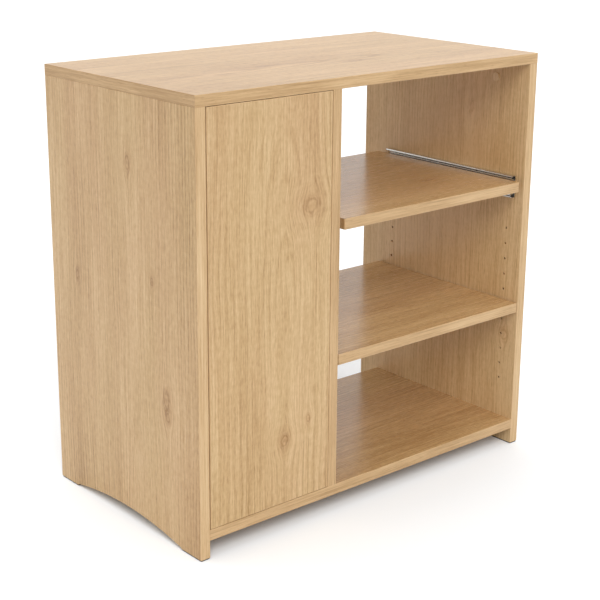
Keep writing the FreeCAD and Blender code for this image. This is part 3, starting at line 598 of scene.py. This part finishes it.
# Cover caps over the cams: moulded discs with a printed oak foil, pressed on over each bore.
# They stand 2 mm proud of the board and are slightly domed, with a round rim.
def turned(centre, axis, outline, count=40):
    """Turns an outline of (radius, height) round an axis: P(i, j) = C + r(i) (cos t(j) A +
    sin t(j) B) + h(i) N. It closes in one face at its foot and in one point on the axis."""
    axis = np.array(axis, float)
    aside = np.array((0.0, 0.0, 1.0)) if abs(axis[2]) < 0.5 else np.array((1.0, 0.0, 0.0))
    second = np.cross(axis, aside)
    turn = np.linspace(0.0, 2 * math.pi, count, endpoint=False)
    spoke = np.cos(turn)[:, None] * aside + np.sin(turn)[:, None] * second
    rings = np.array(centre) + outline[:, :1, None] * spoke + outline[:, 1:, None] * axis
    pole = np.array(centre) + axis * (outline[-1, 1] + 0.05 * outline[-1, 0])
    index = np.arange(len(outline) * count).reshape(-1, count)
    after = np.roll(index, -1, axis=1)
    quads = np.stack([index[:-1], after[:-1], after[1:], index[1:]], -1).reshape(-1, 4).tolist()
    tip = len(outline) * count
    fan = np.stack([index[-1], after[-1], np.full(count, tip)], 1).tolist()
    points = np.concatenate([rings.reshape(-1, 3), pole[None]])
    lengths = np.concatenate([(outline[:, :1, None] * np.stack([np.cos(turn), np.sin(turn)], 1)
                               ).reshape(-1, 2), [[0.0, 0.0]]])
    return points, quads + [index[0, ::-1].tolist()] + fan, lengths


cap_radius, cap_height, cap_rim = 0.009, 0.0022, 0.0008
dome_fall, dome_tip = 0.0002, 0.0006
quarter = np.linspace(0.0, math.pi / 2, 6)
rim = np.stack([cap_radius - cap_rim + cap_rim * np.cos(quarter),
                cap_height - dome_fall - cap_rim + cap_rim * np.sin(quarter)], 1)
dome_r = np.linspace(cap_radius - cap_rim, dome_tip, 8)[1:]
dome_h = cap_height - dome_fall * (dome_r / cap_radius) ** 2
outline = np.concatenate([[[cap_radius, 0.0]], rim, np.stack([dome_r, dome_h], 1)])
high_cap, low_cap = 0.756, 0.0885
front_cap, rear_cap = -0.1425, 0.0925
parts = []
for x, way, z in ((right - board_gauge, -1, high_cap), (left + board_gauge, 1, high_cap),
                  (divider_middle - board_gauge / 2, -1, high_cap),
                  (divider_middle - board_gauge / 2, -1, low_cap)):
    parts += [turned((x, y, z), (way, 0, 0), outline) for y in (front_cap, rear_cap)]
caps = one_piece("cam_caps", parts)
caps.data.materials.append(oak_decor("cap_foil", "Z", "Y", (0.02, 0.3, 0.03, 0.02, 0.009, 0.5),
                                     [], 5.0, 0.42))
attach(caps, "carcass")
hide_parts("cam_cover_caps")


# Ball-bearing slides: three members rolled from zinc-plated strip, each a channel with round
# bends, that run in each other on balls. The plating shows fine lines along their length.
thin_strip, thick_strip = 0.0011, 0.0012


def rolled_section(corners, rounds, gauge):
    """Outline of a rolled strip: the line through the corners gets an arc in each bend, and is
    set off half a gauge to both sides along its normal."""
    corners = np.array(corners, float)
    line = [corners[:1]]
    for before, at, behind, round_ in zip(corners[:-2], corners[1:-1], corners[2:], rounds):
        come = (at - before) / np.linalg.norm(at - before)
        go = (behind - at) / np.linalg.norm(behind - at)
        swing = math.acos(float(np.clip(come @ go, -1, 1)))
        side = np.sign(come[0] * go[1] - come[1] * go[0])
        normal = side * np.array([-come[1], come[0]])
        begin = at - come * round_ * math.tan(swing / 2)
        turn = np.linspace(0.0, swing, 7)[:, None]
        line.append(begin + round_ * (np.sin(turn) * come + (1 - np.cos(turn)) * normal))
    line = np.concatenate(line + [corners[-1:]])
    steps = np.diff(line, axis=0)
    steps /= np.linalg.norm(steps, axis=1)[:, None]
    normal = np.zeros_like(line)
    normal[1:] += np.stack([-steps[:, 1], steps[:, 0]], 1)
    normal[:-1] += np.stack([-steps[:, 1], steps[:, 0]], 1)
    normal /= np.linalg.norm(normal, axis=1)[:, None]
    return np.concatenate([line + normal * gauge / 2, (line - normal * gauge / 2)[::-1]])


def member(face, side, section, span, height):
    """A slide member: its section, x from the panel's face and y up, carried from back to front
    or front to back so that its faces point outwards."""
    y_line = np.linspace(span[0], span[1], 12)
    if side > 0:
        y_line = y_line[::-1]
    stations = np.stack([np.full_like(y_line, face), y_line, np.full_like(y_line, height)], 1)
    turned_area = 0.5 * np.sum(section[:, 0] * np.roll(section[:, 1], -1)
                               - np.roll(section[:, 0], -1) * section[:, 1])
    section = section if turned_area > 0 else section[::-1]
    return carried(stations, (0, 0, 1), section)


def drawn_metal(name, colour, rough, scale, streak=0.16, metallic=1.0):
    """Plated or bare metal on Object coordinates: fine lines stretched along the way it was
    drawn, soft clouding of the plating, and a slight change of gloss."""
    made = bpy.data.materials.new(name)
    made.use_nodes = True
    tree = made.node_tree
    shader = tree.nodes["Principled BSDF"]
    shader.inputs["Metallic"].default_value = metallic
    place = tree.nodes.new("ShaderNodeTexCoord")
    lines = tree.nodes.new("ShaderNodeMapping")
    lines.inputs["Scale"].default_value = scale
    tree.links.new(place.outputs["Object"], lines.inputs["Vector"])
    fine = tree.nodes.new("ShaderNodeTexNoise")
    fine.inputs["Scale"].default_value = 1.0
    fine.inputs["Detail"].default_value = 3.0
    tree.links.new(lines.outputs[0], fine.inputs["Vector"])
    cloud = tree.nodes.new("ShaderNodeTexNoise")
    cloud.inputs["Scale"].default_value = 120.0
    cloud.inputs["Detail"].default_value = 2.0
    tree.links.new(place.outputs["Object"], cloud.inputs["Vector"])
    level = weighed(tree, [(fine.outputs["Fac"], 0.5, streak * 4), (cloud.outputs["Fac"], 0.5, 0.5)], 0.5)
    colours = tree.nodes.new("ShaderNodeValToRGB")
    ramp = colours.color_ramp
    ramp.elements[0].color = tuple(part * (1 - streak) for part in colour) + (1,)
    ramp.elements[1].color = tuple(min(1.0, part * (1 + streak)) for part in colour) + (1,)
    tree.links.new(level, colours.inputs["Fac"])
    tree.links.new(colours.outputs["Color"], shader.inputs["Base Color"])
    gloss = weighed(tree, [(fine.outputs["Fac"], 0.5, 0.25), (cloud.outputs["Fac"], 0.5, 0.12)], rough)
    tree.links.new(gloss, shader.inputs["Roughness"])
    bump = tree.nodes.new("ShaderNodeBump")
    bump.inputs["Strength"].default_value = 0.1
    bump.inputs["Distance"].default_value = 0.0001
    tree.links.new(fine.outputs["Fac"], bump.inputs["Height"])
    tree.links.new(bump.outputs["Normal"], shader.inputs["Normal"])
    return made


zinc_slide = drawn_metal("zinc_slide", (0.70, 0.69, 0.66), 0.28, (1800, 14, 1800))
slide_height = 0.545
# Corners of the strips' middle lines, (out from the panel, up from the slide's middle).
outer_section = rolled_section(
    [(0.0106, 0.0196), (0.0106, 0.0219), (0.00055, 0.0219), (0.00055, -0.0219), (0.0106, -0.0219),
     (0.0106, -0.0196)], (0.0012, 0.0026, 0.0026, 0.0012), thin_strip)
middle_section = rolled_section(
    [(0.0104, 0.0172), (0.0104, 0.0150), (0.0031, 0.0150), (0.0031, -0.0150), (0.0104, -0.0150),
     (0.0104, -0.0172)], (0.0009, 0.0018, 0.0018, 0.0009), thick_strip)
inner_section = rolled_section(
    [(0.0055, 0.0096), (0.01215, 0.0096), (0.01215, -0.0096), (0.0055, -0.0096)],
    (0.0016, 0.0016), thin_strip)
divider_face, right_face = divider_middle + board_gauge / 2, right - board_gauge
for label, face, side in (("left", divider_face, 1), ("right", right_face, -1)):
    for kind, section, body in (("outer", outer_section, "carcass"),
                                ("intermediate", middle_section, "slide_intermediates"),
                                ("inner", inner_section, "pull_out")):
        cad_name = label + "_slide_" + kind
        low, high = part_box(cad_name)
        rail = one_piece(label + "_rail_" + kind,
                         [member(face, side, section, (low.y, high.y), slide_height)])
        rail.data.materials.append(zinc_slide)
        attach(rail, body)
        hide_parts(cad_name)


# Screws of the slides, the latch and the strike plate, and the cams' bolts: zinc-plated steel,
# clouded by the bath. Their skin shows no lines of rolling.
zinc_screw = drawn_metal("zinc_screw", (0.58, 0.58, 0.57), 0.34, (500, 500, 500), 0.12)
for name in ("cam_bolts", "slide_cabinet_screws", "slide_shelf_screws", "latch_screws", "strike_plate_screw"):
    faced(name, zinc_screw)

# Cam housings: zinc die castings with a matt skin. Each sits in its bore and draws in the head
# of a bolt, which pulls the two boards together.
faced("cam_housings", drawn_metal("die_cast_zinc", (0.48, 0.49, 0.50), 0.50, (260, 260, 260), 0.10))

# Hinges with their pins and screws, shelf pins, strike plate and the plunger's magnet: all
# nickel-plated, warm and bright.
nickel = drawn_metal("nickel_plate", (0.66, 0.63, 0.58), 0.24, (420, 60, 420), 0.08)
for name in ("lower_hinge_cup", "lower_hinge_arm", "lower_hinge_plate", "upper_hinge_cup", "upper_hinge_arm",
             "upper_hinge_plate", "hinge_pins", "hinge_cup_screws", "hinge_plate_screws", "hinge_arm_screws",
             "strike_plate", "middle_shelf_pins", "cupboard_shelf_pins", "plunger_magnet"):
    faced(name, nickel)

# Balls of the slides: hardened and polished steel. Their cages: bare steel strip, punched for
# the balls and darkened by its grease.
polished = drawn_metal("polished_balls", (0.72, 0.72, 0.73), 0.10, (900, 900, 900), 0.04)
faced("outer_cage_balls", polished)
faced("inner_cage_balls", polished)
cage_finish = drawn_metal("greased_cage", (0.20, 0.20, 0.20), 0.38, (1500, 20, 1500), 0.20)
for name in ("left_outer_cage", "right_outer_cage", "left_inner_cage", "right_inner_cage"):
    faced(name, cage_finish)


# Latch spring: blued wire wound on a mandrel, its end turns closed. It lies in the bore
# between the plunger and the bore's end, and shortens by the 3 mm that the plunger goes in.
low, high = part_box("latch_spring")
wire = 0.00035
coil_radius = (high.x - low.x) / 2 - wire
coil_turns = 11
coil_length = high.y - low.y - 2 * wire
closed_pitch = 0.00085
turn = np.linspace(0.0, coil_turns, 24 * coil_turns + 1)
rise = np.interp(turn, [0.0, 1.0, coil_turns - 1.0, coil_turns],
                 [0.0, closed_pitch, coil_length - closed_pitch, coil_length])
spoke = np.stack([np.cos(2 * math.pi * turn), np.zeros_like(turn), np.sin(2 * math.pi * turn)], 1)
stations = coil_radius * spoke + np.stack([np.zeros_like(turn), rise, np.zeros_like(turn)], 1)
stations += [(low.x + high.x) / 2, low.y + wire, (low.z + high.z) / 2]
swing = np.linspace(0.0, 2 * math.pi, 10, endpoint=False)
coil = one_piece("latch_coil", [carried(stations, spoke, wire * np.stack([np.cos(swing), np.sin(swing)], 1))])
coil.data.materials.append(drawn_metal("spring_wire", (0.30, 0.29, 0.28), 0.30, (300, 300, 300), 0.12))
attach(coil, "carcass")
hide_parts("latch_spring")
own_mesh(coil)


# Dowels: turned beech pegs, pale with short dark flecks. Three in each joint keep its two boards
# in line.
def grained_solid(name, dark, pale, rough, scale, contrast, depth):
    """A plain coloured solid on Object coordinates: two noises, one of them stretched, mix
    between a dark and a pale tone, roughen the gloss and raise a fine grain."""
    made = bpy.data.materials.new(name)
    made.use_nodes = True
    tree = made.node_tree
    shader = tree.nodes["Principled BSDF"]
    place = tree.nodes.new("ShaderNodeTexCoord")
    stretch = tree.nodes.new("ShaderNodeMapping")
    stretch.inputs["Scale"].default_value = scale
    tree.links.new(place.outputs["Object"], stretch.inputs["Vector"])
    grain = tree.nodes.new("ShaderNodeTexNoise")
    grain.inputs["Scale"].default_value = 1.0
    grain.inputs["Detail"].default_value = 4.0
    tree.links.new(stretch.outputs[0], grain.inputs["Vector"])
    cloud = tree.nodes.new("ShaderNodeTexNoise")
    cloud.inputs["Scale"].default_value = 60.0
    tree.links.new(place.outputs["Object"], cloud.inputs["Vector"])
    level = weighed(tree, [(grain.outputs["Fac"], 0.5, contrast), (cloud.outputs["Fac"], 0.5, 0.6)], 0.5)
    colours = tree.nodes.new("ShaderNodeValToRGB")
    colours.color_ramp.elements[0].color = tuple(dark) + (1,)
    colours.color_ramp.elements[1].color = tuple(pale) + (1,)
    tree.links.new(level, colours.inputs["Fac"])
    tree.links.new(colours.outputs["Color"], shader.inputs["Base Color"])
    gloss = weighed(tree, [(grain.outputs["Fac"], 0.5, 0.2)], rough)
    tree.links.new(gloss, shader.inputs["Roughness"])
    bump = tree.nodes.new("ShaderNodeBump")
    bump.inputs["Strength"].default_value = 0.2
    bump.inputs["Distance"].default_value = depth
    tree.links.new(grain.outputs["Fac"], bump.inputs["Height"])
    tree.links.new(bump.outputs["Normal"], shader.inputs["Normal"])
    return made


faced("wooden_dowels", grained_solid("beech", (0.52, 0.34, 0.20), (0.74, 0.54, 0.36), 0.6,
                                     (300, 300, 300), 1.2, 0.0002))

# Push latch: a housing screwed to the divider inside the cupboard, and the plunger that slides
# in it. Both are moulded in grey plastic with a fine spark-eroded skin.
latch_grey = grained_solid("latch_grey", (0.36, 0.36, 0.37), (0.44, 0.44, 0.45), 0.45,
                           (2200, 2200, 2200), 1.0, 0.00005)
faced("latch_housing", latch_grey)
faced("latch_plunger", latch_grey)

# Stops at the front of the slides, and glides under the feet, each with two nails in the board:
# black moulded plastic.
black_moulded = grained_solid("black_moulded", (0.012, 0.012, 0.013), (0.026, 0.026, 0.027), 0.42,
                              (1800, 1800, 1800), 1.0, 0.00005)
faced("slide_front_stops", black_moulded)
faced("floor_glides", black_moulded)

# Bumpers at the back of the slides: blocks of soft black rubber with a dull skin. They take up
# the push when the shelf goes home.
faced("slide_rear_bumpers", grained_solid("black_rubber", (0.016, 0.016, 0.016), (0.034, 0.033, 0.032), 0.75,
                                          (900, 900, 900), 1.0, 0.0001))
